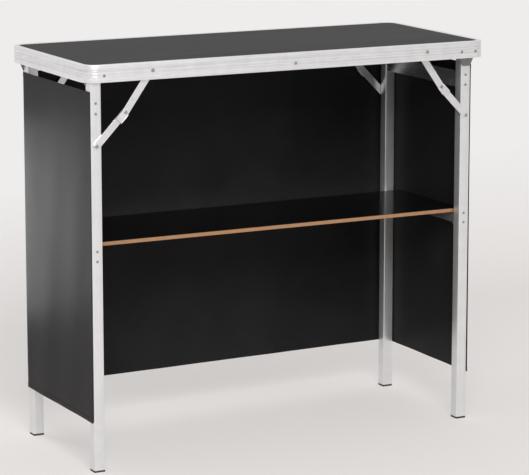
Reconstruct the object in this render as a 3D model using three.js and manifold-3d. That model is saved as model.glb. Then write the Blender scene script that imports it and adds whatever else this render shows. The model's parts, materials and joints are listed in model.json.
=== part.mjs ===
// A folding portable bar: a rimmed top on two folding leg frames, with a lower shelf and a cloth skirt.
// Millimetres, +Z up. X runs along the bar, the open serving side faces -Y, the floor is Z = 0.
// The bar looks the same after half a turn about Z, so each end is built once and turned.
import * as THREE from 'three';
import { mergeVertices } from 'three/addons/utils/BufferGeometryUtils.js';
import Module from 'manifold-3d';

const wasm = await Module();
wasm.setup();

// Overall sizes
const BAR_LENGTH = 1000;
const BAR_DEPTH = 430;
const BAR_HEIGHT = 900;

// Clearances between neighbouring pieces
const SEAT_GAP = 0.3;
const SLIDE_GAP = 0.5;
const RUN_GAP = 1.5;

// Rim extrusion round the top
const RIM_HEIGHT = 38;
const RIM_WALL = 2;
const RIM_LIP = 12;
const RIM_FLANGE = 18;
const RIM_CORNER_RADIUS = 34;
const RIM_CORNER_STEPS = 10;
const GROOVE_COUNT = 3;
const GROOVE_PITCH = 6;
const GROOVE_WIDTH = 1.6;
const GROOVE_DEPTH = 0.7;
const GROOVE_FIRST = 13;

// Top panel and the batten under it
const PANEL_THICKNESS = 5.6;
const PANEL_RECESS = 0.4;
const BATTEN_WIDTH = 40;
const BATTEN_HEIGHT = 12;

// Legs and their pivots
const LEG_SIZE = 25;
const LEG_WALL = 1.5;
const LEG_END_SETBACK = 15;
const OUTER_LEG_SETBACK = 12;
const LEG_TO_LEG_GAP = 9;
const PIVOT_DROP = 36;
const LEG_OVER_PIVOT = 8;
const PIN_RADIUS = 4;
const PIN_OVERHANG = 1;
const FOOT_HEIGHT = 4;
const FOOT_PLUG_HEIGHT = 16;

// Brackets that hang the legs under the panel
const BRACKET_PLATE = 2;
const BRACKET_FLANGE = 20;
const BRACKET_RADIUS = 16;
const CHEEK_PLATE = 2.5;
const CHEEK_TOP_WIDTH = 44;
const CHEEK_FOOT_WIDTH = 20;
const CHEEK_REACH = 26;

// Folding braces, two flat links each
const LINK_WIDTH = 16;
const LINK_THICKNESS = 2;
const UPPER_LINK_LENGTH = 108;
const LOWER_LINK_LENGTH = 97.2;
const RAIL_PIVOT_REACH = 130;
const RAIL_PIVOT_RISE = 18;
const LEG_PIVOT_DROP = 140;
const LINK_TAIL = 14;
const STUD_RADIUS = 4;
const STUD_PIN_RADIUS = 2.5;
const RIVET_RADIUS = 4;
const RIVET_HEIGHT = 1;

// Cross plate of each leg frame
const CROSS_PLATE = 2;
const CROSS_TOP_DROP = 40;
const CROSS_HEIGHT = 37;
const CROSS_INSET = 2;
const CROSS_TAB = 20;

// Shelf, its bearers and the ledges on the legs
const SHELF_TOP = 500;
const SHELF_BOARD = 8.2;
const SHELF_FILM = 0.8;
const SHELF_FILM_GAP = 0.1;
const SHELF_OVERRUN = 8.5;
const BEARER_HEIGHT = 24;
const BEARER_WIDTH = 17;
const BEARER_WALL = 2;
const LEDGE_PLATE = 2;
const LEDGE_REACH = 7.7;
const LEDGE_HEIGHT = 36;
const LEDGE_WIDTH = 20;

// Cloth skirt on three sides
const CLOTH = 1.2;
const SKIRT_TOP_DROP = 20;
const SKIRT_BOTTOM = 112;
const SKIRT_BACK_ROOM = 4.4;

// How finely round shapes are cut
const PIN_STEPS = 20;
const RIVET_STEPS = 14;
const CURVE_STEPS = 8;
const HANGER_STEPS = 12;

// Places worked out from the sizes
const HALF_LENGTH = BAR_LENGTH / 2;
const HALF_DEPTH = BAR_DEPTH / 2;
const HALF_LEG = LEG_SIZE / 2;
const RIM_BOTTOM = BAR_HEIGHT - RIM_HEIGHT;
const PANEL_TOP = BAR_HEIGHT - PANEL_RECESS;
const PANEL_BOTTOM = PANEL_TOP - PANEL_THICKNESS;
const FLANGE_TOP = PANEL_BOTTOM - SEAT_GAP;
const BRACKET_TOP = FLANGE_TOP - RIM_WALL - SEAT_GAP;
const PIVOT_X = -HALF_LENGTH + LEG_END_SETBACK + HALF_LEG;
const PIVOT_Z = BAR_HEIGHT - PIVOT_DROP;
const INNER_LEG_SETBACK = OUTER_LEG_SETBACK + LEG_SIZE + LEG_TO_LEG_GAP;
const LEG_OUTER_X = PIVOT_X - HALF_LEG;
const LEG_INNER_X = PIVOT_X + HALF_LEG;
const SHELF_BOTTOM = SHELF_TOP - SHELF_FILM - SHELF_FILM_GAP - SHELF_BOARD;
const BEARER_TOP = SHELF_BOTTOM - SEAT_GAP;
const LEDGE_TOP = BEARER_TOP - BEARER_HEIGHT - SEAT_GAP;
const SHELF_SETBACK = INNER_LEG_SETBACK + LEG_SIZE + SEAT_GAP + LEDGE_REACH + 2 * SLIDE_GAP;
const SKIRT_TOP = RIM_BOTTOM - SKIRT_TOP_DROP;
const BRACE_STACK = 2 * (LINK_THICKNESS + SLIDE_GAP) + RIVET_HEIGHT;

// Finishes
const aluminium = new THREE.MeshStandardMaterial({ color: 0xd4d6d8, roughness: 0.35, metalness: 0.9 });
const zincSteel = new THREE.MeshStandardMaterial({ color: 0xb4b6b8, roughness: 0.4, metalness: 0.9 });
const darkSteel = new THREE.MeshStandardMaterial({ color: 0x5a5c5e, roughness: 0.55, metalness: 0.6 });
const blackLaminate = new THREE.MeshStandardMaterial({ color: 0x1b1b1d, roughness: 0.45, metalness: 0 });
const fibreboard = new THREE.MeshStandardMaterial({ color: 0xa9764c, roughness: 0.8, metalness: 0 });
const blackCloth = new THREE.MeshStandardMaterial({ color: 0x17171a, roughness: 0.9, metalness: 0 });
const blackPlastic = new THREE.MeshStandardMaterial({ color: 0x202022, roughness: 0.6, metalness: 0 });

// A closed geometry as a solid for joins and cuts
function solidOf(geometry) {
  const bare = geometry.clone();
  bare.deleteAttribute('normal');
  bare.deleteAttribute('uv');
  const merged = mergeVertices(bare, 1e-4);
  return new wasm.Manifold(new wasm.Mesh({
    numProp: 3,
    vertProperties: new Float32Array(merged.attributes.position.array),
    triVerts: new Uint32Array(merged.index.array),
  }));
}

// A solid back as a geometry
function geometryOf(solid) {
  const mesh = solid.getMesh();
  const geometry = new THREE.BufferGeometry();
  geometry.setAttribute('position', new THREE.BufferAttribute(new Float32Array(mesh.vertProperties), 3));
  geometry.setIndex(new THREE.BufferAttribute(new Uint32Array(mesh.triVerts), 1));
  geometry.computeVertexNormals();
  return geometry;
}

function join(...geometries) {
  return geometryOf(geometries.map(solidOf).reduce((whole, piece) => whole.add(piece)));
}

function cut(geometry, ...tools) {
  return geometryOf(tools.map(solidOf).reduce((whole, tool) => whole.subtract(tool), solidOf(geometry)));
}

// A block between two values on each axis, given in either order
function block([xa, xb], [ya, yb], [za, zb]) {
  const geometry = new THREE.BoxGeometry(Math.abs(xb - xa), Math.abs(yb - ya), Math.abs(zb - za));
  return geometry.translate((xa + xb) / 2, (ya + yb) / 2, (za + zb) / 2);
}

// A round bar along Y
function bar(radius, x, z, [ya, yb], sides = PIN_STEPS) {
  const geometry = new THREE.CylinderGeometry(radius, radius, Math.abs(yb - ya), sides);
  return geometry.translate(x, (ya + yb) / 2, z);
}

// An outline in X and Z, given thickness from ya to yb
function plateXZ(shape, [ya, yb], curveSegments = CURVE_STEPS) {
  const depth = Math.abs(yb - ya);
  const geometry = new THREE.ExtrudeGeometry(shape, { depth, bevelEnabled: false, curveSegments });
  return geometry.rotateX(Math.PI / 2).translate(0, Math.max(ya, yb), 0);
}

// An outline in X and Y, given height from za to zb
function prismXY(shape, [za, zb], curveSegments = CURVE_STEPS) {
  const geometry = new THREE.ExtrudeGeometry(shape, { depth: zb - za, bevelEnabled: false, curveSegments });
  return geometry.translate(0, 0, za);
}

function polygon(points) {
  return new THREE.Shape(points.map(([a, b]) => new THREE.Vector2(a, b)));
}

function square(half) {
  return polygon([[-half, -half], [half, -half], [half, half], [-half, half]]);
}

function piece(name, geometry, material) {
  const mesh = new THREE.Mesh(geometry, material);
  mesh.name = name;
  return mesh;
}

// The rim's section: distance in from the outer face, height above the rim's bottom
function rimSection() {
  const flange = FLANGE_TOP - RIM_BOTTOM;
  const outline = [[RIM_WALL, 0], [0, 0]];
  for (let i = 0; i < GROOVE_COUNT; i += 1) {
    const middle = GROOVE_FIRST + i * GROOVE_PITCH;
    outline.push([0, middle - GROOVE_WIDTH / 2], [GROOVE_DEPTH, middle], [0, middle + GROOVE_WIDTH / 2]);
  }
  outline.push([0, RIM_HEIGHT], [RIM_LIP, RIM_HEIGHT], [RIM_LIP, RIM_HEIGHT - RIM_WALL]);
  outline.push([RIM_WALL, RIM_HEIGHT - RIM_WALL], [RIM_WALL, flange]);
  outline.push([RIM_FLANGE, flange], [RIM_FLANGE, flange - RIM_WALL], [RIM_WALL, flange - RIM_WALL]);
  return outline.reverse();
}

// The rim's section carried along stations, each a point on the outer face and its inward normal
function sweepRim(stations) {
  const section = rimSection();
  const count = section.length;
  const corners = [];
  for (const [x, y, nx, ny] of stations) {
    for (const [inward, rise] of section) {
      corners.push(x + nx * inward, y + ny * inward, RIM_BOTTOM + rise);
    }
  }
  const faces = [];
  for (let s = 0; s + 1 < stations.length; s += 1) {
    for (let k = 0; k < count; k += 1) {
      const a = s * count + k;
      const b = s * count + ((k + 1) % count);
      faces.push(a, b, b + count, a, b + count, a + count);
    }
  }
  const last = (stations.length - 1) * count;
  const flat = section.map(([a, b]) => new THREE.Vector2(a, b));
  for (const [a, b, c] of THREE.ShapeUtils.triangulateShape(flat, [])) {
    faces.push(a, c, b, last + a, last + b, last + c);
  }
  const geometry = new THREE.BufferGeometry();
  geometry.setAttribute('position', new THREE.Float32BufferAttribute(corners, 3));
  geometry.setIndex(faces);
  geometry.computeVertexNormals();
  return geometry;
}

// Rails of the serving side and the left end, with the corners that follow each of them
function rimHalf(names) {
  const group = new THREE.Group();
  const longRun = HALF_LENGTH - RIM_CORNER_RADIUS - SEAT_GAP;
  const shortRun = HALF_DEPTH - RIM_CORNER_RADIUS - SEAT_GAP;
  const rail = sweepRim([[-longRun, -HALF_DEPTH, 0, 1], [longRun, -HALF_DEPTH, 0, 1]]);
  const end = sweepRim([[-HALF_LENGTH, shortRun, 1, 0], [-HALF_LENGTH, -shortRun, 1, 0]]);
  const cornerAt = (cx, cy, from) => {
    const stations = [];
    for (let i = 0; i <= RIM_CORNER_STEPS; i += 1) {
      const angle = from + (Math.PI / 2) * (i / RIM_CORNER_STEPS);
      const nx = -Math.cos(angle);
      const ny = -Math.sin(angle);
      stations.push([cx - nx * RIM_CORNER_RADIUS, cy - ny * RIM_CORNER_RADIUS, nx, ny]);
    }
    return sweepRim(stations);
  };
  const cornerX = HALF_LENGTH - RIM_CORNER_RADIUS;
  const cornerY = HALF_DEPTH - RIM_CORNER_RADIUS;
  group.add(piece(names.rail, rail, aluminium));
  group.add(piece(names.end, end, aluminium));
  group.add(piece(names.firstCorner, cornerAt(-cornerX, -cornerY, Math.PI), aluminium));
  group.add(piece(names.secondCorner, cornerAt(cornerX, -cornerY, -Math.PI / 2), aluminium));
  return group;
}

// The top panel, lying in the rim's lip
function topPanel() {
  const inset = RIM_LIP + SEAT_GAP;
  const x = HALF_LENGTH - inset;
  const y = HALF_DEPTH - inset;
  const r = RIM_CORNER_RADIUS - inset;
  const outline = new THREE.Shape();
  outline.moveTo(-x + r, -y).lineTo(x - r, -y);
  outline.absarc(x - r, -y + r, r, -Math.PI / 2, 0);
  outline.lineTo(x, y - r).absarc(x - r, y - r, r, 0, Math.PI / 2);
  outline.lineTo(-x + r, y).absarc(-x + r, y - r, r, Math.PI / 2, Math.PI);
  outline.lineTo(-x, -y + r).absarc(-x + r, -y + r, r, Math.PI, 1.5 * Math.PI);
  return piece('top_panel', prismXY(outline, [PANEL_BOTTOM, PANEL_TOP]), blackLaminate);
}

function centreBatten() {
  const reach = HALF_DEPTH - RIM_FLANGE - SEAT_GAP;
  const top = PANEL_BOTTOM - SEAT_GAP;
  const x = BATTEN_WIDTH / 2;
  return piece('centre_batten', block([-x, x], [-reach, reach], [top - BATTEN_HEIGHT, top]), aluminium);
}

// One square leg tube with the hole for its pivot pin; near and far are its two faces in Y
function legTube(name, near, far) {
  const middle = (near + far) / 2;
  const inner = HALF_LEG - LEG_WALL;
  const outline = square(HALF_LEG);
  outline.holes.push(square(inner));
  const heights = [FOOT_HEIGHT + SEAT_GAP, PIVOT_Z + LEG_OVER_PIVOT];
  const tube = prismXY(outline, heights).translate(PIVOT_X, middle, 0);
  const hole = bar(PIN_RADIUS + SEAT_GAP, PIVOT_X, PIVOT_Z, [near - LEG_SIZE, far + LEG_SIZE]);
  return piece(name, cut(tube, hole), aluminium);
}

function footCap(name, near, far) {
  const middle = (near + far) / 2;
  const plug = HALF_LEG - LEG_WALL - SLIDE_GAP;
  const sole = block([LEG_OUTER_X, LEG_INNER_X], [near, far], [0, FOOT_HEIGHT]);
  const stem = block(
    [PIVOT_X - plug, PIVOT_X + plug],
    [middle - plug, middle + plug],
    [FOOT_HEIGHT / 2, FOOT_HEIGHT + FOOT_PLUG_HEIGHT],
  );
  return piece(name, join(sole, stem), blackPlastic);
}

// Round-ended hanger on the inner side of an outer leg, with its flange under the rim's flange
function legHanger(name, yAt) {
  const plateIn = OUTER_LEG_SETBACK + LEG_SIZE + SEAT_GAP;
  const span = [yAt(plateIn), yAt(plateIn + BRACKET_PLATE)];
  const top = BRACKET_TOP;
  const left = PIVOT_X - BRACKET_RADIUS;
  const right = PIVOT_X + BRACKET_RADIUS;
  const outline = new THREE.Shape();
  outline.moveTo(left, top).lineTo(left, PIVOT_Z);
  outline.absarc(PIVOT_X, PIVOT_Z, BRACKET_RADIUS, Math.PI, 2 * Math.PI);
  outline.lineTo(right, top);
  const flangeSpan = [span[0], yAt(plateIn + BRACKET_FLANGE)];
  const flange = block([left, right], flangeSpan, [top - BRACKET_PLATE, top]);
  const hole = bar(PIN_RADIUS + SEAT_GAP, PIVOT_X, PIVOT_Z, [span[0] - LEG_SIZE, span[1] + LEG_SIZE]);
  return piece(name, cut(join(plateXZ(outline, span, HANGER_STEPS), flange), hole), zincSteel);
}

// Tapered cheek on the outer side of an inner leg, with its flange under the rim's flange
function legCheek(name, yAt) {
  const plateIn = INNER_LEG_SETBACK - SEAT_GAP;
  const span = [yAt(plateIn), yAt(plateIn - CHEEK_PLATE)];
  const top = BRACKET_TOP;
  const wide = CHEEK_TOP_WIDTH / 2;
  const narrow = CHEEK_FOOT_WIDTH / 2;
  const foot = PIVOT_Z - CHEEK_REACH;
  const outline = polygon([
    [PIVOT_X - wide, top], [PIVOT_X - wide, PIVOT_Z], [PIVOT_X - narrow, foot],
    [PIVOT_X + narrow, foot], [PIVOT_X + wide, PIVOT_Z], [PIVOT_X + wide, top],
  ]);
  const flangeSpan = [span[0], yAt(plateIn - BRACKET_FLANGE)];
  const flange = block([PIVOT_X - wide, PIVOT_X + wide], flangeSpan, [top - CHEEK_PLATE, top]);
  const hole = bar(PIN_RADIUS + SEAT_GAP, PIVOT_X, PIVOT_Z, [span[0] - LEG_SIZE, span[1] + LEG_SIZE]);
  return piece(name, cut(join(plateXZ(outline, span), flange), hole), zincSteel);
}

// Where the three pivots of a brace lie in X and Z
function bracePivots() {
  const rail = new THREE.Vector2(PIVOT_X + RAIL_PIVOT_REACH, PIVOT_Z + RAIL_PIVOT_RISE);
  const leg = new THREE.Vector2(PIVOT_X, PIVOT_Z - LEG_PIVOT_DROP);
  const chord = leg.clone().sub(rail);
  const span = chord.length();
  const along = (UPPER_LINK_LENGTH ** 2 - LOWER_LINK_LENGTH ** 2 + span ** 2) / (2 * span);
  const bow = Math.sqrt(Math.max(UPPER_LINK_LENGTH ** 2 - along ** 2, 0));
  chord.normalize();
  const away = new THREE.Vector2(-chord.y, chord.x);
  const elbow = rail.clone().addScaledVector(chord, along).addScaledVector(away, bow);
  return { rail, leg, elbow };
}

// A flat bar with round ends from one pivot to another, running on past the second by a tail
function linkBar(from, to, span, tail) {
  const direction = to.clone().sub(from);
  const reach = direction.length() + tail;
  const turn = Math.atan2(direction.y, direction.x);
  const r = LINK_WIDTH / 2;
  const outline = new THREE.Shape();
  outline.moveTo(0, -r).lineTo(reach, -r);
  outline.absarc(reach, 0, r, -Math.PI / 2, Math.PI / 2);
  outline.lineTo(0, r).absarc(0, 0, r, Math.PI / 2, 1.5 * Math.PI);
  return plateXZ(outline, span).rotateY(-turn).translate(from.x, 0, from.y);
}

// The two links of one brace and the stud that carries them, on the outer side of a leg
function addBrace(group, name, yAt, legFace) {
  const { rail, leg, elbow } = bracePivots();
  const lowerIn = legFace - SLIDE_GAP;
  const lowerOut = lowerIn - LINK_THICKNESS;
  const upperIn = lowerOut - SLIDE_GAP;
  const upperOut = upperIn - LINK_THICKNESS;
  const lowerSpan = [yAt(lowerOut), yAt(lowerIn)];
  const upperSpan = [yAt(upperOut), yAt(upperIn)];
  const head = (spot, face) => {
    const span = [yAt(face - RIVET_HEIGHT), yAt(face + RIVET_HEIGHT)];
    return bar(RIVET_RADIUS, spot.x, spot.y, span, RIVET_STEPS);
  };
  const lower = join(linkBar(leg, elbow, lowerSpan, 0), head(leg, lowerOut));
  const through = bar(STUD_PIN_RADIUS + SEAT_GAP, rail.x, rail.y, [yAt(0), yAt(legFace)]);
  const upper = cut(join(linkBar(rail, elbow, upperSpan, LINK_TAIL), head(elbow, upperOut)), through);
  const seat = RIM_WALL + SEAT_GAP;
  const stud = join(
    bar(STUD_RADIUS, rail.x, rail.y, [yAt(seat), yAt(upperOut - SEAT_GAP)]),
    bar(STUD_PIN_RADIUS, rail.x, rail.y, [yAt(upperOut - 2 * SEAT_GAP), yAt(upperIn)]),
  );
  group.add(piece(`${name}_brace_lower_link`, lower, zincSteel));
  group.add(piece(`${name}_brace_upper_link`, upper, zincSteel));
  group.add(piece(`${name}_brace_stud`, stud, zincSteel));
}

// Plate that ties the two legs of a frame, with a tab bent along the inner side of each
function crossPlate(name, yOuterLeg, yInnerLeg) {
  const inX = LEG_INNER_X - CROSS_INSET;
  const outX = inX - CROSS_TAB;
  const a = yOuterLeg + SEAT_GAP;
  const b = yInnerLeg - SEAT_GAP;
  const t = CROSS_PLATE;
  const outline = polygon([
    [outX, a], [inX, a], [inX, b], [outX, b],
    [outX, b - t], [inX - t, b - t], [inX - t, a + t], [outX, a + t],
  ]);
  const top = PIVOT_Z - CROSS_TOP_DROP;
  return piece(name, prismXY(outline, [top - CROSS_HEIGHT, top]), darkSteel);
}

// Ledge on the inner side of a leg: a back plate and a lip for the shelf bearer
function shelfLedge(name, yFace, inward) {
  const x = [PIVOT_X - LEDGE_WIDTH / 2, PIVOT_X + LEDGE_WIDTH / 2];
  const back = [yFace + inward * SEAT_GAP, yFace + inward * (SEAT_GAP + LEDGE_PLATE)];
  const lip = [back[0], yFace + inward * (SEAT_GAP + LEDGE_REACH)];
  const bottom = LEDGE_TOP - LEDGE_PLATE;
  const upright = block(x, back, [bottom, bottom + LEDGE_HEIGHT]);
  return piece(name, join(upright, block(x, lip, [bottom, LEDGE_TOP])), zincSteel);
}

// Channel under one end of the shelf, open to the outside
function shelfBearer(name, yStart, yEnd) {
  const outX = PIVOT_X - BEARER_WIDTH / 2;
  const inX = PIVOT_X + BEARER_WIDTH / 2;
  const low = BEARER_TOP - BEARER_HEIGHT;
  const t = BEARER_WALL;
  const outline = polygon([
    [outX, low], [inX, low], [inX, BEARER_TOP], [outX, BEARER_TOP],
    [outX, BEARER_TOP - t], [inX - t, BEARER_TOP - t], [inX - t, low + t], [outX, low + t],
  ]);
  return piece(name, plateXZ(outline, [yStart, yEnd]), darkSteel);
}

// Everything at one end of the bar, built at the left end with its outer leg towards -Y
function barEnd(end, outer, inner) {
  const group = new THREE.Group();
  const fromOuter = (inward) => -HALF_DEPTH + inward;
  const fromInner = (inward) => HALF_DEPTH - inward;
  const outerNear = fromOuter(OUTER_LEG_SETBACK);
  const outerFar = fromOuter(OUTER_LEG_SETBACK + LEG_SIZE);
  const innerNear = fromInner(INNER_LEG_SETBACK + LEG_SIZE);
  const innerFar = fromInner(INNER_LEG_SETBACK);

  group.add(legTube(`${outer}_leg`, outerNear, outerFar));
  group.add(legTube(`${inner}_leg`, innerNear, innerFar));
  group.add(footCap(`${outer}_foot`, outerNear, outerFar));
  group.add(footCap(`${inner}_foot`, innerNear, innerFar));
  group.add(crossPlate(`${end}_cross_plate`, outerFar, innerNear));
  group.add(shelfLedge(`${outer}_shelf_ledge`, outerFar, 1));
  group.add(shelfLedge(`${inner}_shelf_ledge`, innerNear, -1));

  group.add(legHanger(`${outer}_leg_bracket`, fromOuter));
  group.add(legCheek(`${inner}_leg_bracket`, fromInner));
  const outerPinEnd = OUTER_LEG_SETBACK + LEG_SIZE + SEAT_GAP + BRACKET_PLATE + PIN_OVERHANG;
  const outerPin = [fromOuter(OUTER_LEG_SETBACK - PIN_OVERHANG), fromOuter(outerPinEnd)];
  const innerPinStart = INNER_LEG_SETBACK - SEAT_GAP - CHEEK_PLATE - PIN_OVERHANG;
  const innerPin = [fromInner(innerPinStart), fromInner(INNER_LEG_SETBACK + LEG_SIZE + PIN_OVERHANG)];
  group.add(piece(`${outer}_pivot_pin`, bar(PIN_RADIUS, PIVOT_X, PIVOT_Z, outerPin), zincSteel));
  group.add(piece(`${inner}_pivot_pin`, bar(PIN_RADIUS, PIVOT_X, PIVOT_Z, innerPin), zincSteel));

  addBrace(group, outer, fromOuter, OUTER_LEG_SETBACK);
  addBrace(group, inner, fromInner, INNER_LEG_SETBACK);

  const bearerStart = outerFar + SEAT_GAP + LEDGE_PLATE + RUN_GAP;
  const bearerEnd = innerNear - SEAT_GAP - LEDGE_PLATE - SLIDE_GAP;
  group.add(shelfBearer(`${end}_shelf_bearer`, bearerStart, bearerEnd));
  return group;
}

function shelfLayer(name, [za, zb], material) {
  const x = -PIVOT_X + SHELF_OVERRUN;
  const y = HALF_DEPTH - SHELF_SETBACK;
  return piece(name, block([-x, x], [-y, y], [za, zb]), material);
}

// Cloth on the two ends and the back, in three flat runs
function addSkirt(group) {
  const inside = LEG_OUTER_X - SLIDE_GAP;
  const outside = inside - CLOTH;
  const z = [SKIRT_BOTTOM, SKIRT_TOP];
  const backLeft = HALF_DEPTH - INNER_LEG_SETBACK + BRACE_STACK + SLIDE_GAP;
  const backRight = HALF_DEPTH - OUTER_LEG_SETBACK + BRACE_STACK + SKIRT_BACK_ROOM;
  const leftFront = -HALF_DEPTH + OUTER_LEG_SETBACK;
  const rightFront = -HALF_DEPTH + INNER_LEG_SETBACK;
  const left = block([outside, inside], [leftFront, backLeft - SEAT_GAP], z);
  const right = block([-inside, -outside], [rightFront, backRight - SEAT_GAP], z);
  const back = polygon([
    [outside, backLeft], [-outside, backRight],
    [-outside, backRight + CLOTH], [outside, backLeft + CLOTH],
  ]);
  group.add(piece('left_skirt', left, blackCloth));
  group.add(piece('right_skirt', right, blackCloth));
  group.add(piece('back_skirt', prismXY(back, z), blackCloth));
}

function buildBar() {
  const wholeBar = new THREE.Group();
  wholeBar.add(topPanel());
  wholeBar.add(centreBatten());

  const servingRim = rimHalf({
    rail: 'front_rail',
    end: 'left_end_rail',
    firstCorner: 'front_left_corner',
    secondCorner: 'front_right_corner',
  });
  const backRim = rimHalf({
    rail: 'rear_rail',
    end: 'right_end_rail',
    firstCorner: 'rear_right_corner',
    secondCorner: 'rear_left_corner',
  });
  backRim.rotation.z = Math.PI;
  wholeBar.add(servingRim, backRim);

  const leftEnd = barEnd('left', 'left_front', 'left_rear');
  const rightEnd = barEnd('right', 'right_rear', 'right_front');
  rightEnd.rotation.z = Math.PI;
  wholeBar.add(leftEnd, rightEnd);

  wholeBar.add(shelfLayer('shelf_board', [SHELF_BOTTOM, SHELF_BOTTOM + SHELF_BOARD], fibreboard));
  wholeBar.add(shelfLayer('shelf_top_film', [SHELF_TOP - SHELF_FILM, SHELF_TOP], blackLaminate));
  addSkirt(wholeBar);
  return wholeBar;
}

export default buildBar();
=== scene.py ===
"""Finishes, rim, legs, screws, cloth skirt, floor and light for a folding portable bar."""
import json
import math

import bmesh
import bpy
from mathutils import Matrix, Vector


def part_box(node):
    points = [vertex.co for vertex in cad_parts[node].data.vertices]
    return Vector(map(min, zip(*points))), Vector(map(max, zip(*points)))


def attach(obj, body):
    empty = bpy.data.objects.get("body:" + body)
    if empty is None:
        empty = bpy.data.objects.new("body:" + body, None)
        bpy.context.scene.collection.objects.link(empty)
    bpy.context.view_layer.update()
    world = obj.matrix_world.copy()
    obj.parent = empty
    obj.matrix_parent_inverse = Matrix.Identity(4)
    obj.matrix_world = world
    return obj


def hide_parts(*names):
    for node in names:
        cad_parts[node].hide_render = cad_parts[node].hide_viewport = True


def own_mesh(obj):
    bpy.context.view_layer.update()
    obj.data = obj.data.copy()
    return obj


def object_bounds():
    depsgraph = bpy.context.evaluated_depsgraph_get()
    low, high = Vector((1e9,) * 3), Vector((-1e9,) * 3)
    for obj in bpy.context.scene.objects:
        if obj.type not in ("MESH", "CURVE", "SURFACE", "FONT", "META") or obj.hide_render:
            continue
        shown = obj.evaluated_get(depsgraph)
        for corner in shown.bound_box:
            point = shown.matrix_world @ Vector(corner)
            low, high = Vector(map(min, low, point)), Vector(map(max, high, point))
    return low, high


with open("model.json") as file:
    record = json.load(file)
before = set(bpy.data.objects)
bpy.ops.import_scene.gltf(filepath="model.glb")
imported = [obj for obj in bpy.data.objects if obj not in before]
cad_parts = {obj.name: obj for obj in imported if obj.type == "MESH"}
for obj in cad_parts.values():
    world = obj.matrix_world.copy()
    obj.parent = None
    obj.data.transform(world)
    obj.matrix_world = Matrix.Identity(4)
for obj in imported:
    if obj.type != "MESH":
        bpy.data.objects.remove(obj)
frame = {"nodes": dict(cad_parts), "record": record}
CAD_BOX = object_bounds()
NODES = frame["nodes"]
MM = 0.001

# Camera, found from the photograph's corners
CAMERA_PLACE = (-2.7776, -5.4618, 1.6452)
CAMERA_YAW = 0.476
CAMERA_PITCH = -0.193
CAMERA_LENS = 184.15
CAMERA_REACH = 60.0
SENSOR_WIDTH = 36.0

# Edges
EDGE_BREAK = 0.4 * MM
EDGE_BREAK_ANGLE = 40
EDGE_SEGMENTS = 2
MERGE_DISTANCE = 0.01 * MM
SMOOTH_ANGLE = 35

# Rim extrusion
RIM_WALL = 2 * MM
RIM_LIP = 12 * MM
RIM_FLANGE = 18 * MM
RIM_CORNER_RADIUS = 34 * MM
RIM_CORNER_STEPS = 14
RIM_EDGE = 0.7 * MM
PANEL_DEPTH_IN_RIM = 6.3 * MM
GROOVE_HEIGHTS = (13 * MM, 19 * MM, 25 * MM)
GROOVE_WIDTH = 2.0 * MM
GROOVE_DEPTH = 1.1 * MM
RIM_SMOOTH_ANGLE = 24

# Leg tubes
LEG_WALL = 1.5 * MM
LEG_EDGE_RADIUS = 1.8 * MM
LEG_EDGE_STEPS = 4
LEG_BORE_RADIUS_SHARE = 0.4

# Screws and rivets
SCREW_RADIUS = 3.0 * MM
SCREW_HEIGHT = 1.1 * MM
RAIL_SCREW_RADIUS = 3.4 * MM
LINK_WIDTH = 16 * MM
STOP_LENGTH = 24 * MM
STOP_WIDTH = 18 * MM
STOP_THICKNESS = 1.6 * MM
STOP_PROUD = 0.4 * MM
STOP_EDGE = 0.5 * MM
RIVET_RADIUS = 4.2 * MM
RIVET_HEIGHT = 1.3 * MM
RAIL_SCREW_SPOTS = (-0.457, 0.005, 0.434, 0.470)
RAIL_SCREW_RISE = 15 * MM
PLATE_SCREW_INSET = 7 * MM
HEAD_SIDES = 16
HEAD_TAPER = 0.72
SLOT_REACH = 1.1
SLOT_WIDTH = 0.75 * MM
SCREW_SINK = 0.35
RAIL_SCREW_SINK = 0.1
RIVET_SINK = 0.4
RAIL_RIVET_SINK = 0.2

# Cloth skirt
CLOTH = 0.9 * MM
CLOTH_CORNER_RADIUS = 9 * MM
CLOTH_STEP = 12 * MM
RIPPLE = 0.7 * MM
LONG_WAVE = 21.0
SHORT_WAVE = 47.0
CLOTH_SMOOTH_ANGLE = 40
THREAD_PITCH = 1.3 * MM
SKIRT_ROWS = 24
HEM_WIDTH = 10 * MM
HEM_THICKNESS = 0.4 * MM
STITCH_PITCH = 5 * MM
STITCH_LENGTH = 3.4 * MM
STITCH_WIDTH = 0.5 * MM
STITCH_RISE = 0.85
STITCH_SIDES = 6
STITCH_RINGS = 4

# Floor and wall
FLOOR_COLOUR = (0.74, 0.7, 0.68)
WALL_COLOUR = (0.86, 0.845, 0.84)
FLOOR_GLOW = 0.5
FLOOR_FRONT = -9.0
FLOOR_BACK = 1.0
FLOOR_HALF_WIDTH = 12.0
COVE_RADIUS = 0.4
COVE_STEPS = 10
WALL_HEIGHT = 6.0
GLOW_FULL_HEIGHT = 0.35

# Light
ROOM_COLOUR = (1.0, 0.99, 0.985)
ROOM_STRENGTH = 0.62
KEY_PLACE = (-1.6, -4.2, 3.4)
KEY_TARGET = (0.0, 0.0, 0.5)
KEY_SIZE = (2.6, 2.6)
KEY_WATTS = 185.0
STRIP_PLACE = (-0.6, 0.48, 0.44)
STRIP_TARGET = (-0.5, 0.0, 0.44)
STRIP_SIZE = (0.12, 0.5)
STRIP_WATTS = 0.7

LEGS = ("left_front", "left_rear", "right_rear", "right_front")


# Finishes
class Tone:
    """A shader value that adds a Math node for each operator used on it."""

    def __init__(self, finish, socket):
        self.finish = finish
        self.socket = socket

    def _maths(self, operation, first, second):
        made = self.finish.node("ShaderNodeMath", {"operation": operation}, {0: first, 1: second})
        return Tone(self.finish, made.outputs[0])

    def __add__(self, other):
        return self._maths("ADD", self, other)

    def __mul__(self, other):
        return self._maths("MULTIPLY", self, other)

    def sine(self):
        return self._maths("SINE", self, 0.0)


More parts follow.
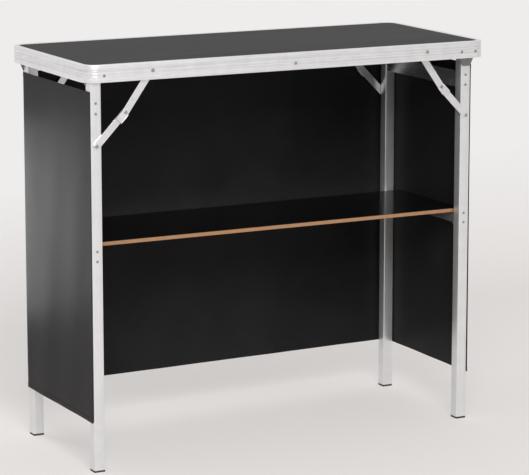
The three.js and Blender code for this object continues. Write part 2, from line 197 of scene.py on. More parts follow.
class Finish:
    """One procedural material around a Principled shader."""

    def __init__(self, name, constants):
        self.material = bpy.data.materials.new(name)
        self.material.use_nodes = True
        self.tree = self.material.node_tree
        self.shader = self.tree.nodes["Principled BSDF"]
        for socket, value in constants.items():
            self.shader.inputs[socket].default_value = value

    def node(self, kind, settings, inputs):
        made = self.tree.nodes.new(kind)
        for key, value in settings.items():
            if key == "stops":
                self._stops(made.color_ramp, value)
            else:
                setattr(made, key, value)
        for key, value in inputs.items():
            self.feed(made.inputs[key], value)
        return made

    def _stops(self, ramp, stops):
        while len(ramp.elements) < len(stops):
            ramp.elements.new(0.5)
        for element, (place, colour) in zip(ramp.elements, stops):
            element.position = place
            element.color = (*colour, 1.0)

    def feed(self, socket, value):
        if isinstance(value, Tone):
            self.tree.links.new(value.socket, socket)
        else:
            socket.default_value = value

    def set(self, socket, value):
        self.feed(self.shader.inputs[socket], value)

    def place(self, output="Object"):
        return Tone(self, self.node("ShaderNodeTexCoord", {}, {}).outputs[output])

    def stretched(self, scale, output="Object"):
        made = self.node("ShaderNodeMapping", {}, {"Vector": self.place(output), "Scale": scale})
        return Tone(self, made.outputs["Vector"])

    def noise(self, place, scale, detail=3.0, rough=0.5):
        inputs = {"Vector": place, "Scale": scale, "Detail": detail, "Roughness": rough}
        return Tone(self, self.node("ShaderNodeTexNoise", {}, inputs).outputs[0])

    def ramp(self, value, stops):
        made = self.node("ShaderNodeValToRGB", {"stops": stops}, {"Fac": value})
        return Tone(self, made.outputs["Color"])

    def bump(self, height, strength, distance):
        inputs = {"Height": height, "Strength": strength, "Distance": distance}
        made = self.node("ShaderNodeBump", {}, inputs)
        self.set("Normal", Tone(self, made.outputs["Normal"]))


def drawn_metal(name, along, dark, light, metallic, rough):
    """Metal with fine drawing lines that run along one axis, and faint handling marks."""
    finish = Finish(name, {"Metallic": metallic})
    scale = [1100.0, 1100.0, 1100.0]
    for axis in along:
        scale[axis] = 2.5
    lines = finish.noise(finish.stretched(scale), 1.0, 4.0, 0.65)
    marks = finish.noise(finish.place(), 38.0, 5.0, 0.6)
    colour = finish.ramp(lines * 0.75 + marks * 0.25, [(0.3, dark), (0.7, light)])
    finish.set("Base Color", colour)
    finish.set("Roughness", lines * 0.12 + marks * 0.14 + (rough - 0.13))
    finish.bump(lines, 0.12, 0.0003)
    return finish.material


def rolled_steel(name, dark, light, metallic, rough):
    """Plated or painted sheet steel: soft cloudy grain with small scuffs."""
    finish = Finish(name, {"Metallic": metallic})
    cloud = finish.noise(finish.place(), 55.0, 6.0, 0.62)
    scuff = finish.noise(finish.stretched((900.0, 140.0, 300.0)), 1.0, 3.0, 0.6)
    finish.set("Base Color", finish.ramp(cloud * 0.6 + scuff * 0.4, [(0.32, dark), (0.68, light)]))
    finish.set("Roughness", cloud * 0.16 + scuff * 0.12 + (rough - 0.14))
    finish.bump(cloud, 0.08, 0.0004)
    return finish.material


def laminate(name, dark, light, rough, gloss, pebble):
    """Black sheet laminate with a fine pebbled face and faint wiping marks."""
    finish = Finish(name, {"Specular IOR Level": gloss})
    grain = finish.noise(finish.place(), 1500.0, 2.0)
    wipes = finish.noise(finish.stretched((2.0, 26.0, 26.0)), 1.0, 5.0, 0.6)
    finish.set("Base Color", finish.ramp(wipes * 0.7 + grain * 0.3, [(0.3, dark), (0.7, light)]))
    finish.set("Roughness", wipes * 0.14 + grain * 0.06 + (rough - 0.1))
    finish.bump(grain, pebble, 0.0002)
    return finish.material


def fibreboard():
    """Brown hardboard edge with pressed fibres lying along the board."""
    finish = Finish("brown_fibreboard", {"Specular IOR Level": 0.25})
    fibres = finish.noise(finish.stretched((60.0, 60.0, 1400.0)), 1.0, 6.0, 0.7)
    specks = finish.noise(finish.place(), 900.0, 3.0, 0.7)
    stops = [(0.3, (0.23, 0.115, 0.055)), (0.5, (0.36, 0.195, 0.1)), (0.72, (0.47, 0.29, 0.165))]
    finish.set("Base Color", finish.ramp(fibres * 0.65 + specks * 0.35, stops))
    finish.set("Roughness", fibres * 0.2 + 0.62)
    finish.bump(fibres, 0.35, 0.0004)
    return finish.material


def woven_cloth(name, dark, light):
    """Black coated polyester: a plain weave on the cloth's own map, with soft uneven sheen."""
    finish = Finish(name, {"Specular IOR Level": 0.05, "Sheen Weight": 0.01, "Sheen Roughness": 0.4})
    split = finish.node("ShaderNodeSeparateXYZ", {}, {"Vector": finish.place("UV")})
    across = Tone(finish, split.outputs["X"])
    down = Tone(finish, split.outputs["Y"])
    threads = 2 * math.pi / THREAD_PITCH
    weave = (across * threads).sine() * (down * threads).sine()
    slub = finish.noise(finish.stretched((30.0, 400.0, 1.0), "UV"), 1.0, 4.0, 0.6)
    soft = finish.noise(finish.place(), 7.0, 3.0)
    tone = weave * 0.12 + slub * 0.4 + soft * 0.48
    finish.set("Base Color", finish.ramp(tone, [(0.25, dark), (0.7, light)]))
    finish.set("Roughness", weave * 0.04 + soft * 0.12 + 0.29)
    finish.bump(weave * 0.6 + slub * 0.4, 0.12, 0.0003)
    return finish.material


def moulded_plastic():
    """Black moulded foot cap with spark-eroded grain and dusty wear."""
    finish = Finish("black_foot_plastic", {"Specular IOR Level": 0.4})
    grain = finish.noise(finish.place(), 1100.0, 2.0)
    dust = finish.noise(finish.place(), 90.0, 4.0)
    stops = [(0.35, (0.018, 0.018, 0.019)), (0.75, (0.05, 0.049, 0.047))]
    finish.set("Base Color", finish.ramp(dust, stops))
    finish.set("Roughness", grain * 0.1 + dust * 0.2 + 0.42)
    finish.bump(grain, 0.3, 0.0002)
    return finish.material


def grey(value, blue=0.0):
    return (value, value, value + blue)


def make_finishes():
    rim = (grey(0.64, 0.01), grey(0.95, 0.005))
    leg = (grey(0.68, 0.01), grey(0.9, 0.01))
    brace = (grey(0.7, 0.01), grey(0.9, 0.01))
    plate = (grey(0.46, 0.005), grey(0.68, 0.01))
    # Painted shade: the brackets' grey steel is made darker still, to stand in for the shadow the rail
    # casts on them
    bracket_and_shade = (grey(0.2, 0.005), grey(0.32, 0.01))
    screw = (grey(0.3, 0.01), grey(0.46, 0.01))
    top = (grey(0.01, 0.0005), grey(0.019, 0.001))
    film = (grey(0.002), grey(0.004, 0.0002))
    cloth = (grey(0.011, 0.0005), grey(0.024, 0.001))
    return {
        "rim_aluminium": drawn_metal("drawn_rim_aluminium", (0, 1), *rim, 0.72, 0.36),
        "leg_aluminium": drawn_metal("drawn_leg_aluminium", (2,), *leg, 0.72, 0.34),
        "brace_steel": rolled_steel("plated_brace_steel", *brace, 0.8, 0.33),
        "frame_steel": rolled_steel("plain_frame_steel", *plate, 0.85, 0.24),
        "top_laminate": laminate("black_top_laminate", *top, 0.5, 0.07, 0.25),
        "shelf_fibreboard": fibreboard(),
        "shelf_film": laminate("black_shelf_film", *film, 0.17, 0.3, 0.05),
        "skirt_cloth": woven_cloth("black_skirt_cloth", *cloth),
        "foot_plastic": moulded_plastic(),
        # The brackets' own grey steel, with the rail's shadow painted into its colour
        "bracket_steel_and_shade": rolled_steel("grey_bracket_steel_and_painted_shade", *bracket_and_shade, 0.7, 0.42),
        "screw_steel": rolled_steel("zinc_screw_steel", *screw, 0.85, 0.35),
    }


def mesh_object(name, build, material):
    """A new mesh object at the origin, filled by a function that gets the bmesh."""
    mesh = bpy.data.meshes.new(name)
    shape = bmesh.new()
    build(shape)
    bmesh.ops.recalc_face_normals(shape, faces=shape.faces)
    shape.to_mesh(mesh)
    shape.free()
    made = bpy.data.objects.new(name, mesh)
    bpy.context.scene.collection.objects.link(made)
    mesh.materials.append(material)
    return made


def smooth_by_angle(piece, degrees):
    piece.data.shade_smooth()
    piece.data.set_sharp_from_angle(angle=math.radians(degrees))


def dress_nodes(finishes):
    """Every solid that stays gets the finish of its slot; the leg brackets get a greyer steel, darkened
    also as painted shade for the rail's shadow over them.
    """
    for part in frame["record"]["subparts"]:
        name = part["node"]
        finish = "bracket_steel_and_shade" if name.endswith("_leg_bracket") else part["material_slot"]
        mesh = NODES[name].data
        mesh.materials.clear()
        mesh.materials.append(finishes[finish])


def broken_edges(piece):
    """Small bevels on the hard edges of a sheet-metal or board piece."""
    weld = piece.modifiers.new("merge", "WELD")
    weld.merge_threshold = MERGE_DISTANCE
    bevel = piece.modifiers.new("edges", "BEVEL")
    bevel.width = EDGE_BREAK
    bevel.segments = EDGE_SEGMENTS
    bevel.limit_method = "ANGLE"
    bevel.angle_limit = math.radians(EDGE_BREAK_ANGLE)


# Geometry node trees
def node_tree(name, sizes):
    """An empty geometry tree with a geometry input, named sizes, a material and a geometry output."""
    tree = bpy.data.node_groups.new(name, "GeometryNodeTree")
    tree.interface.new_socket("Geometry", in_out="INPUT", socket_type="NodeSocketGeometry")
    for size in sizes:
        tree.interface.new_socket(size, in_out="INPUT", socket_type="NodeSocketFloat")
    tree.interface.new_socket("Material", in_out="INPUT", socket_type="NodeSocketMaterial")
    tree.interface.new_socket("Geometry", in_out="OUTPUT", socket_type="NodeSocketGeometry")
    return tree, tree.nodes.new("NodeGroupInput"), tree.nodes.new("NodeGroupOutput")


def add_node(tree, kind, settings=(), **links):
    """A node with its settings, and its inputs by name (underscores for spaces) linked or set."""
    made = tree.nodes.new(kind)
    for key, value in dict(settings).items():
        setattr(made, key, value)
    for key, value in links.items():
        socket = made.inputs[key.replace("_", " ")]
        if isinstance(value, bpy.types.NodeSocket):
            tree.links.new(value, socket)
        else:
            socket.default_value = value
    return made


def close_tree(tree, given, out, instances):
    """Realize Instances, Set Material and the output."""
    real = add_node(tree, "GeometryNodeRealizeInstances", Geometry=instances)
    painted = add_node(
        tree, "GeometryNodeSetMaterial",
        Geometry=real.outputs[0], Material=given.outputs["Material"],
    )
    tree.links.new(painted.outputs[0], out.inputs[0])


def heads_on_points(tree, given, head):
    """The head shape on every point, turned so that it stands along the point's own facing."""
    facing = add_node(tree, "GeometryNodeInputNamedAttribute", {"data_type": "FLOAT_VECTOR"}, Name="facing")
    turn = add_node(
        tree, "FunctionNodeAlignRotationToVector", {"axis": "Z"},
        Vector=facing.outputs["Attribute"],
    )
    placed = add_node(
        tree, "GeometryNodeInstanceOnPoints",
        Points=given.outputs["Geometry"], Instance=head, Rotation=turn.outputs[0],
    )
    return placed.outputs[0]


def head_cone(tree, given):
    """A chamfered head that stands on its base."""
    top = add_node(tree, "ShaderNodeMath", {"operation": "MULTIPLY"})
    tree.links.new(given.outputs["Radius"], top.inputs[0])
    top.inputs[1].default_value = HEAD_TAPER
    cone = add_node(
        tree, "GeometryNodeMeshCone", Vertices=HEAD_SIDES,
        Radius_Top=top.outputs[0], Radius_Bottom=given.outputs["Radius"], Depth=given.outputs["Height"],
    )
    return cone.outputs["Mesh"]


def rivet_tree():
    tree, given, out = node_tree("rivet_heads", ("Radius", "Height"))
    close_tree(tree, given, out, heads_on_points(tree, given, head_cone(tree, given)))
    return tree


def screw_tree():
    """Chamfered heads with a cross cut into each."""
    tree, given, out = node_tree("cross_head_screws", ("Radius", "Height"))
    head = head_cone(tree, given)
    long_side = add_node(tree, "ShaderNodeMath", {"operation": "MULTIPLY"})
    tree.links.new(given.outputs["Radius"], long_side.inputs[0])
    long_side.inputs[1].default_value = SLOT_REACH
    for first, second in (("X", "Y"), ("Y", "X")):
        size = add_node(tree, "ShaderNodeCombineXYZ", Z=given.outputs["Height"])
        tree.links.new(long_side.outputs[0], size.inputs[first])
        size.inputs[second].default_value = SLOT_WIDTH
        slot = add_node(tree, "GeometryNodeMeshCube", Size=size.outputs[0])
        lifted = add_node(tree, "GeometryNodeTransform", Geometry=slot.outputs["Mesh"])
        raise_by = add_node(tree, "ShaderNodeCombineXYZ", Z=given.outputs["Height"])
        tree.links.new(raise_by.outputs[0], lifted.inputs["Translation"])
        cut = add_node(tree, "GeometryNodeMeshBoolean", {"operation": "DIFFERENCE"})
        tree.links.new(head, cut.inputs[0])
        tree.links.new(lifted.outputs[0], cut.inputs[1])
        head = cut.outputs[0]
    close_tree(tree, given, out, heads_on_points(tree, given, head))
    return tree


def stitch_tree():
    """Short thread runs laid along each point's own facing."""
    tree, given, out = node_tree("stitch_runs", ("Length", "Width"))
    ball = add_node(
        tree, "GeometryNodeMeshUVSphere",
        Segments=STITCH_SIDES, Rings=STITCH_RINGS, Radius=0.5,
    )
    size = add_node(tree, "ShaderNodeCombineXYZ", X=given.outputs["Width"], Y=given.outputs["Width"])
    tree.links.new(given.outputs["Length"], size.inputs["Z"])
    thread = add_node(tree, "GeometryNodeTransform", Geometry=ball.outputs["Mesh"])
    tree.links.new(size.outputs[0], thread.inputs["Scale"])
    close_tree(tree, given, out, heads_on_points(tree, given, thread.outputs[0]))
    return tree


def rim_tree():
    """The given closed section carried round a rectangle with rounded corners."""
    tree, given, out = node_tree("rim_sweep", ("Length", "Depth", "Corner radius"))
    section = add_node(tree, "GeometryNodeMeshToCurve", Mesh=given.outputs["Geometry"])
    loop = add_node(
        tree, "GeometryNodeCurvePrimitiveQuadrilateral",
        Width=given.outputs["Length"], Height=given.outputs["Depth"],
    )
    rounded = add_node(
        tree, "GeometryNodeFilletCurve", {"mode": "POLY"},
        Curve=loop.outputs[0], Radius=given.outputs["Corner radius"], Count=RIM_CORNER_STEPS,
    )
    swept = add_node(
        tree, "GeometryNodeCurveToMesh",
        Curve=rounded.outputs[0], Profile_Curve=section.outputs[0],
    )
    close_tree(tree, given, out, swept.outputs[0])
    return tree


def grow(source, tree, sizes, material, name):
    """The tree's result on a source mesh as a plain mesh object; the source is removed."""
    modifier = source.modifiers.new("grow", "NODES")
    modifier.node_group = tree
    for socket in tree.interface.items_tree:
        if socket.item_type != "SOCKET" or socket.in_out != "INPUT":
            continue
        if socket.name in sizes:
            modifier[socket.identifier] = sizes[socket.name]
        elif socket.name == "Material":
            modifier[socket.identifier] = material
    graph = bpy.context.evaluated_depsgraph_get()
    mesh = bpy.data.meshes.new_from_object(source.evaluated_get(graph))
    bpy.data.objects.remove(source)
    mesh.name = name
    made = bpy.data.objects.new(name, mesh)
    bpy.context.scene.collection.objects.link(made)
    return made


def point_cloud(name, spots):
    """A mesh of bare points, each with the direction it faces."""
    mesh = bpy.data.meshes.new(name)
    mesh.from_pydata([spot for spot, facing in spots], [], [])
    facing = mesh.attributes.new("facing", "FLOAT_VECTOR", "POINT")
    for i, (spot, direction) in enumerate(spots):
        facing.data[i].vector = direction
    made = bpy.data.objects.new(name, mesh)
    bpy.context.scene.collection.objects.link(made)
    return made


# Rim
def rim_section_points():
    """The rim's section as (inward, rise) points, with its outer edges broken."""
    low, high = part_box("front_rail")
    height = high.z - low.z
    flange = height - PANEL_DEPTH_IN_RIM
    edge = RIM_EDGE
    points = [(RIM_WALL, 0.0), (edge, 0.0), (edge * 0.3, edge * 0.3), (0.0, edge)]
    for middle in GROOVE_HEIGHTS:
        half = GROOVE_WIDTH / 2
        points += [(0.0, middle - half), (GROOVE_DEPTH, middle), (0.0, middle + half)]
    points += [(0.0, height - 2 * edge), (edge * 0.6, height - edge * 0.6), (2 * edge, height)]
    points += [(RIM_LIP - edge, height), (RIM_LIP, height - edge), (RIM_LIP, height - RIM_WALL)]
    points += [(RIM_WALL, height - RIM_WALL), (RIM_WALL, flange), (RIM_FLANGE, flange)]
    points += [(RIM_FLANGE, flange - RIM_WALL), (RIM_WALL, flange - RIM_WALL)]
    return points


def make_rim(material):
    """One bent rim that stands for the four rails and four corners."""
    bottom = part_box("front_rail")[0].z
    mesh = bpy.data.meshes.new("rim_section")
    verts = [(-inward, rise, 0.0) for inward, rise in rim_section_points()]
    count = len(verts)
    mesh.from_pydata(verts, [(i, (i + 1) % count) for i in range(count)], [])
    source = bpy.data.objects.new("rim_section", mesh)
    bpy.context.scene.collection.objects.link(source)
    size = CAD_BOX[1] - CAD_BOX[0]
    sizes = {"Length": size.x, "Depth": size.y, "Corner radius": RIM_CORNER_RADIUS}
    rim = grow(source, rim_tree(), sizes, material, "bent_rim")
    # The sweep lays the section's rise downwards, so it is turned up here
    for v in rim.data.vertices:
        v.co.z = bottom - v.co.z
    shape = bmesh.new()
    shape.from_mesh(rim.data)
    bmesh.ops.remove_doubles(shape, verts=shape.verts, dist=MERGE_DISTANCE)
    bmesh.ops.recalc_face_normals(shape, faces=shape.faces)
    shape.to_mesh(rim.data)
    shape.free()
    smooth_by_angle(rim, RIM_SMOOTH_ANGLE)
    rails = [f"{side}_rail" for side in ("front", "rear", "left_end", "right_end")]
    corners = [f"{side}_corner" for side in ("front_left", "front_right", "rear_left", "rear_right")]
    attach(rim, "top")
    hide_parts(*rails, *corners)


# Legs
def rounded_square(half, radius):
    """Points round a square with rounded corners."""
    points = []
    for quarter in range(4):
        start = quarter * math.pi / 2
        middle = start + math.pi / 4
        cx = math.copysign(half - radius, math.cos(middle))
        cy = math.copysign(half - radius, math.sin(middle))
        for step in range(LEG_EDGE_STEPS + 1):
            angle = start + step * (math.pi / 2) / LEG_EDGE_STEPS
            points.append((cx + radius * math.cos(angle), cy + radius * math.sin(angle)))
    return points


def make_leg(leg, material):
    """A square tube with rounded edges, open at its top, in place of the sharp solid."""
    low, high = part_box(f"{leg}_leg")
    middle = (low + high) / 2
    half = (high.x - low.x) / 2
    outer = rounded_square(half, LEG_EDGE_RADIUS)
    inner = rounded_square(half - LEG_WALL, LEG_EDGE_RADIUS * LEG_BORE_RADIUS_SHARE)

    def build(shape):
        rings = []
        for section, z in ((outer, low.z), (outer, high.z), (inner, high.z), (inner, low.z)):
            rings.append([shape.verts.new((middle.x + x, middle.y + y, z)) for x, y in section])
        count = len(outer)
        for a, b in zip(rings, rings[1:] + rings[:1]):
            for i in range(count):
                j = (i + 1) % count
                shape.faces.new((a[i], a[j], b[j], b[i]))

    tube = mesh_object(f"{leg}_leg_tube", build, material)
    smooth_by_angle(tube, SMOOTH_ANGLE)
    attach(tube, f"{leg.split('_')[0]}_leg_frame")
    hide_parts(f"{leg}_leg")


# Screws and rivets
def outward(leg):
    """The way along y that a leg's outer face looks: -1 at the front, 1 at the rear."""
    return -1.0 if leg.endswith("front") else 1.0


def outer_face(node, facing):
    low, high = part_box(node)
    return low.y if facing < 0 else high.y


def leg_screw_spots(leg):
    """Two screws into the cross plate and two into the shelf ledge, on the leg's outward face."""
    low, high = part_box(f"{leg}_leg")
    facing = outward(leg)
    x = (low.x + high.x) / 2
    y = outer_face(f"{leg}_leg", facing) + facing * SCREW_HEIGHT * SCREW_SINK
    spots = []
    for held in (f"{leg.split('_')[0]}_cross_plate", f"{leg}_shelf_ledge"):
        bottom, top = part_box(held)
        for z in (bottom.z + PLATE_SCREW_INSET, top.z - PLATE_SCREW_INSET):
            spots.append(((x, y, z), (0.0, facing, 0.0)))
    return spots


def rail_screw_spots():
    """Screws through the front and rear rails, turned half round for the rear."""
    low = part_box("front_rail")[0]
    spots = []
    for facing in (-1.0, 1.0):
        y = facing * (-low.y + RAIL_SCREW_RADIUS * RAIL_SCREW_SINK)
        for x in RAIL_SCREW_SPOTS:
            spots.append(((-facing * x, y, low.z + RAIL_SCREW_RISE), (0.0, facing, 0.0)))
    return spots


def rail_rivet_spots():
    """The brace studs' rivet heads on the outer face of the rails."""
    face = -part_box("front_rail")[0].y
    spots = []
    for leg in LEGS:
        low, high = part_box(f"{leg}_brace_stud")
        middle = (low + high) / 2
        facing = outward(leg)
        y = facing * (face + RIVET_HEIGHT * RAIL_RIVET_SINK)
        spots.append(((middle.x, y, middle.z), (0.0, facing, 0.0)))
    return spots


def link_rivet_spots(leg):
    """Rivet heads on a brace: one on the lower link at the leg, one on the upper link at the elbow."""
    low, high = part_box(f"{leg}_brace_lower_link")
    facing = outward(leg)
    end_radius = LINK_WIDTH / 2
    leg_x, elbow_x = low.x + end_radius, high.x - end_radius
    if leg.startswith("right"):
        leg_x, elbow_x = elbow_x, leg_x
    sink = facing * RIVET_HEIGHT * RIVET_SINK
    lower_y = outer_face(f"{leg}_brace_lower_link", facing) + sink
    upper_y = outer_face(f"{leg}_brace_upper_link", facing) + sink
    at_leg = ((leg_x, lower_y, low.z + end_radius), (0.0, facing, 0.0))
    at_elbow = ((elbow_x, upper_y, high.z - end_radius), (0.0, facing, 0.0))
    return {"lower": at_leg, "upper": at_elbow}


def fasten(name, spots, tree, sizes, material, body):
    """The tree's heads at every spot, as one piece that rides a body."""
    made = grow(point_cloud(name, spots), tree, sizes, material, name)
    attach(made, body)


def make_fasteners(steel):
    screws = screw_tree()
    rivets = rivet_tree()
    leg_screw = {"Radius": SCREW_RADIUS, "Height": SCREW_HEIGHT}
    rail_screw = {"Radius": RAIL_SCREW_RADIUS, "Height": SCREW_HEIGHT}
    rivet = {"Radius": RIVET_RADIUS, "Height": RIVET_HEIGHT}
    for side in ("left", "right"):
        spots = [spot for leg in LEGS if leg.startswith(side) for spot in leg_screw_spots(leg)]
        fasten(f"{side}_leg_screws", spots, screws, leg_screw, steel, f"{side}_leg_frame")
    fasten("rail_screws", rail_screw_spots(), screws, rail_screw, steel, "top")
    fasten("rail_rivets", rail_rivet_spots(), rivets, rivet, steel, "top")
    for leg in LEGS:
        for link, spot in link_rivet_spots(leg).items():
            fasten(f"{leg}_{link}_link_rivet", [spot], rivets, rivet, steel, f"{leg}_{link}_link")


def make_elbow_stop(leg, material):
    """The squared flap at an upper link's elbow end, lying along the lower link when the brace is open."""
    spots = link_rivet_spots(leg)
    elbow = Vector(spots["upper"][0])
    foot = Vector(spots["lower"][0])
    facing = outward(leg)
    along = Vector((foot.x - elbow.x, 0.0, foot.z - elbow.z)).normalized()
    across = Vector((-along.z, 0.0, along.x))
    outer = outer_face(f"{leg}_brace_upper_link", facing) + facing * STOP_PROUD

    def build(shape):
        bmesh.ops.create_cube(shape, size=1.0)
        for v in shape.verts:
            reach = along * (v.co.x + 0.5) * STOP_LENGTH + across * v.co.z * STOP_WIDTH
            y = outer - facing * (0.5 - facing * v.co.y) * STOP_THICKNESS
            v.co = Vector((elbow.x + reach.x, y, elbow.z + reach.z))
        edges = shape.edges[:]
        bmesh.ops.bevel(shape, geom=edges, offset=STOP_EDGE, segments=EDGE_SEGMENTS, affect="EDGES")

    stop = mesh_object(f"{leg}_elbow_stop", build, material)
    smooth_by_angle(stop, SMOOTH_ANGLE)
    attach(stop, f"{leg}_upper_link")


# Skirt
def skirt_path():
    """The skirt's middle line, from the left front edge round the back to the right front edge."""
    left_low, left_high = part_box("left_skirt")
    right_low, right_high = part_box("right_skirt")
    x = (left_low.x + left_high.x) / 2
    back_left = left_high.y + CLOTH
    back_right = right_high.y + CLOTH
    radius = CLOTH_CORNER_RADIUS
    slope = (back_right - back_left) / (-2 * x)
    points = [(x, left_low.y), (x, back_left - radius)]
    points += arc(x + radius, back_left - radius, radius, math.pi, math.pi / 2)
    points += [(-x - radius, back_right - slope * radius)]
    points += arc(-x - radius, back_right - radius, radius, math.pi / 2, 0.0)
    points += [(-x, right_low.y)]
    return evenly_spaced(points, CLOTH_STEP)


def arc(cx, cy, radius, start, end, steps=6):
    turn = (end - start) / steps
    angles = [start + turn * i for i in range(steps + 1)]
    return [(cx + radius * math.cos(a), cy + radius * math.sin(a)) for a in angles]


def evenly_spaced(points, step):
    """The same line with points no further apart than the step, kept at its own corners."""
    line = [Vector(points[0])]
    for point in points[1:]:
        start, end = line[-1], Vector(point)
        parts = max(1, math.ceil((end - start).length / step))
        line += [start.lerp(end, i / parts) for i in range(1, parts + 1)]
    return line


def path_lengths(line):
    lengths = [0.0]
    for a, b in zip(line, line[1:]):
        lengths.append(lengths[-1] + (b - a).length)
    return lengths


def path_normals(line):
    """Outward sideways direction at each point of the line."""
    normals = []
    for i in range(len(line)):
        along = line[min(i + 1, len(line) - 1)] - line[max(i - 1, 0)]
        normals.append(Vector((-along.y, along.x)).normalized())
    return normals


def ripple(s, drop):
    """Soft outward waves that grow towards the free lower edge."""
    long_wave = math.sin(s * LONG_WAVE + drop * 2.0)
    short_wave = math.sin(s * SHORT_WAVE - drop * 5.0)
    return RIPPLE * (0.25 + drop) * (1.0 + long_wave * 0.6 + short_wave * 0.4)


def cloth_strip(name, line, heights, offset, thickness, material, rows):
    """A strip of cloth along the path between two heights, with its own map in metres."""
    lengths = path_lengths(line)
    normals = path_normals(line)
    skirt_low, skirt_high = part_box("left_skirt")
    full = skirt_high.z - skirt_low.z
    bottom, top = heights

    def place(i, z, out):
        drop = (skirt_high.z - z) / full
        push = ripple(lengths[i], drop) + offset + out
        spot = line[i] + normals[i] * push
        return (spot.x, spot.y, z)

    def build(shape):
        layer = shape.loops.layers.uv.new("cloth")
        grids = []
        for out in (0.0, thickness):
            grid = []
            for r in range(rows + 1):
                z = bottom + (top - bottom) * r / rows
                grid.append([shape.verts.new(place(i, z, out)) for i in range(len(line))])
            grids.append(grid)
        spots = {}
        for grid in grids:
            for r, row in enumerate(grid):
                for i, vert in enumerate(row):
                    spots[vert] = (lengths[i], bottom + (top - bottom) * r / rows)
        last = len(line) - 1
        for r in range(rows):
            for i in range(last):
                for grid in grids:
                    shape.faces.new((grid[r][i], grid[r][i + 1], grid[r + 1][i + 1], grid[r + 1][i]))
        inner, outer = grids
        for i in range(last):
            for r in (0, rows):
                shape.faces.new((inner[r][i], inner[r][i + 1], outer[r][i + 1], outer[r][i]))
        for r in range(rows):
            for i in (0, last):
                shape.faces.new((inner[r][i], inner[r + 1][i], outer[r + 1][i], outer[r][i]))
        for face in shape.faces:
            for loop in face.loops:
                loop[layer].uv = spots[loop.vert]

    made = mesh_object(name, build, material)
    smooth_by_angle(made, CLOTH_SMOOTH_ANGLE)
    return made


def stitch_spots(line, z, out):
    """Thread runs along the path at one height."""
    skirt_low, skirt_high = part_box("left_skirt")
    drop = (skirt_high.z - z) / (skirt_high.z - skirt_low.z)
    fine = evenly_spaced([tuple(p) for p in line], STITCH_PITCH)
    lengths = path_lengths(fine)
    normals = path_normals(fine)
    spots = []
    for i in range(1, len(fine) - 1):
        spot = fine[i] + normals[i] * (ripple(lengths[i], drop) + out)
        along = (fine[i + 1] - fine[i - 1]).normalized()
        spots.append(((spot.x, spot.y, z), (along.x, along.y, 0.0)))
    return spots


def make_skirt(cloth):
    """One cloth round both ends and the back, with a sewn hem at its top and bottom."""
    low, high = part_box("left_skirt")
    line = skirt_path()
    sheet = cloth_strip("cloth_skirt", line, (low.z, high.z), -CLOTH / 2, CLOTH, cloth, SKIRT_ROWS)
    hems = []
    for name, bottom in (("skirt_lower_hem", low.z), ("skirt_upper_hem", high.z - HEM_WIDTH)):
        heights = (bottom, bottom + HEM_WIDTH)
        hems.append(cloth_strip(name, line, heights, CLOTH / 2, HEM_THICKNESS, cloth, 1))
    spots = []
    for z in (low.z + HEM_WIDTH * STITCH_RISE, high.z - HEM_WIDTH * STITCH_RISE):
        spots += stitch_spots(line, z, CLOTH / 2 + HEM_THICKNESS)
    sizes = {"Length": STITCH_LENGTH, "Width": STITCH_WIDTH}
    thread = grow(point_cloud("skirt_stitches", spots), stitch_tree(), sizes, cloth, "skirt_stitches")
    for piece in (sheet, *hems, thread):
        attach(piece, "top")
        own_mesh(piece)
    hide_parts("left_skirt", "right_skirt", "back_skirt")
    flat = (path_lengths(line)[-1], high.z - low.z)


# Stage
def pale_stage():
    """Pale floor and wall, even where the wall is seen or mirrored, and clear from behind or below."""
    look = {"Base Color": (*FLOOR_COLOUR, 1.0), "Roughness": 0.8, "Specular IOR Level": 0.1}
    finish = Finish("pale_stage", look)
    split = finish.node("ShaderNodeSeparateXYZ", {}, {"Vector": finish.place()})
    height = Tone(finish, split.outputs["Z"])
    span = {"Value": height, "From Max": GLOW_FULL_HEIGHT, "To Min": FLOOR_GLOW, "To Max": 1.0}
    rise = finish.node("ShaderNodeMapRange", {}, span)
    path = finish.node("ShaderNodeLightPath", {}, {})
    seen = Tone(finish, path.outputs["Is Camera Ray"])
    mirrored = Tone(finish, path.outputs["Is Glossy Ray"])
    share = (seen + mirrored) * Tone(finish, rise.outputs[0])
    glow = finish.node("ShaderNodeEmission", {}, {"Color": (*WALL_COLOUR, 1.0), "Strength": 1.0})
    mixed = finish.node("ShaderNodeMixShader", {}, {"Fac": share})
    finish.tree.links.new(finish.shader.outputs[0], mixed.inputs[1])
    finish.tree.links.new(glow.outputs[0], mixed.inputs[2])
    clear = finish.node("ShaderNodeBsdfTransparent", {}, {})
    behind = Tone(finish, finish.node("ShaderNodeNewGeometry", {}, {}).outputs["Backfacing"])
    shown = finish.node("ShaderNodeMixShader", {}, {"Fac": behind})
    finish.tree.links.new(mixed.outputs[0], shown.inputs[1])
    finish.tree.links.new(clear.outputs[0], shown.inputs[2])
    finish.tree.links.new(shown.outputs[0], finish.tree.nodes["Material Output"].inputs["Surface"])
    return finish.material


def make_stage():
    """Pale floor that turns up into a pale wall behind."""

    def build(shape):
        profile = [(FLOOR_FRONT, 0.0), (FLOOR_BACK, 0.0)]
        profile += arc(FLOOR_BACK, COVE_RADIUS, COVE_RADIUS, -math.pi / 2, 0.0, COVE_STEPS)
        profile += [(FLOOR_BACK + COVE_RADIUS, WALL_HEIGHT)]
        sides = (-FLOOR_HALF_WIDTH, FLOOR_HALF_WIDTH)
        rows = [[shape.verts.new((x, y, z)) for x in sides] for y, z in profile]
        for a, b in zip(rows, rows[1:]):
            shape.faces.new((a[0], a[1], b[1], b[0]))

    sweep = mesh_object("floor_sweep", build, pale_stage())
    sweep.data.flip_normals()
    sweep.data.shade_smooth()


def area_light(name, place, target, size, watts):
    lamp = bpy.data.lights.new(name, "AREA")
    lamp.shape = "ELLIPSE"
    lamp.size, lamp.size_y = size
    lamp.energy = watts
    made = bpy.data.objects.new(name, lamp)
    bpy.context.scene.collection.objects.link(made)
    made.location = place
    made.rotation_euler = (Vector(target) - Vector(place)).to_track_quat("-Z", "Y").to_euler()
    made.visible_camera = False


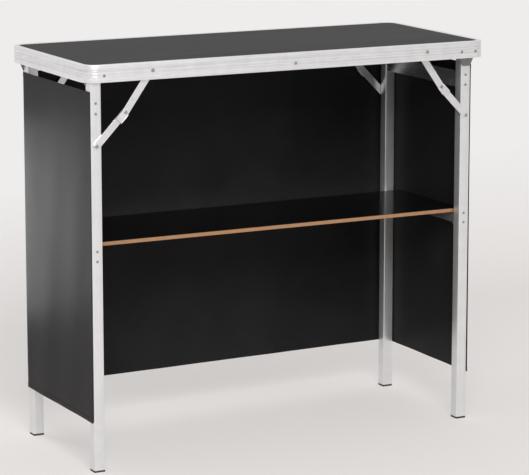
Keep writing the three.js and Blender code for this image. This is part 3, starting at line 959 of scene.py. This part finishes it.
def make_light():
    world = bpy.data.worlds.new("soft_room")
    bpy.context.scene.world = world
    world.use_nodes = True
    tree = world.node_tree
    lit = tree.nodes["Background"]
    lit.inputs["Color"].default_value = (*ROOM_COLOUR, 1.0)
    lit.inputs["Strength"].default_value = ROOM_STRENGTH
    seen = tree.nodes.new("ShaderNodeBackground")
    seen.inputs["Color"].default_value = (*WALL_COLOUR, 1.0)
    mixed = tree.nodes.new("ShaderNodeMixShader")
    path = tree.nodes.new("ShaderNodeLightPath")
    tree.links.new(path.outputs["Is Camera Ray"], mixed.inputs["Fac"])
    tree.links.new(lit.outputs[0], mixed.inputs[1])
    tree.links.new(seen.outputs[0], mixed.inputs[2])
    tree.links.new(mixed.outputs[0], tree.nodes["World Output"].inputs["Surface"])
    area_light("front_key", KEY_PLACE, KEY_TARGET, KEY_SIZE, KEY_WATTS)
    area_light("left_strip", STRIP_PLACE, STRIP_TARGET, STRIP_SIZE, STRIP_WATTS)


def make_camera():
    lens = bpy.data.cameras.new("photo_view")
    lens.sensor_width = SENSOR_WIDTH
    lens.sensor_fit = "HORIZONTAL"
    lens.lens = CAMERA_LENS
    lens.clip_end = CAMERA_REACH
    made = bpy.data.objects.new("photo_view", lens)
    bpy.context.scene.collection.objects.link(made)
    made.location = CAMERA_PLACE
    made.rotation_euler = (math.pi / 2 + CAMERA_PITCH, 0.0, -CAMERA_YAW)
    bpy.context.scene.camera = made


def main():
    bpy.context.scene.view_settings.view_transform = "Standard"
    make_camera()
    finishes = make_finishes()
    dress_nodes(finishes)
    make_rim(finishes["rim_aluminium"])
    for leg in LEGS:
        make_leg(leg, finishes["leg_aluminium"])
        for ending in ("brace_upper_link", "brace_lower_link", "shelf_ledge", "leg_bracket", "foot"):
            broken_edges(NODES[f"{leg}_{ending}"])
    for name in ("cross_plate", "shelf_bearer"):
        broken_edges(NODES[f"left_{name}"])
        broken_edges(NODES[f"right_{name}"])
    broken_edges(NODES["shelf_board"])
    make_fasteners(finishes["screw_steel"])
    for leg in LEGS:
        make_elbow_stop(leg, finishes["brace_steel"])
    make_skirt(finishes["skirt_cloth"])
    make_stage()
    make_light()


main()
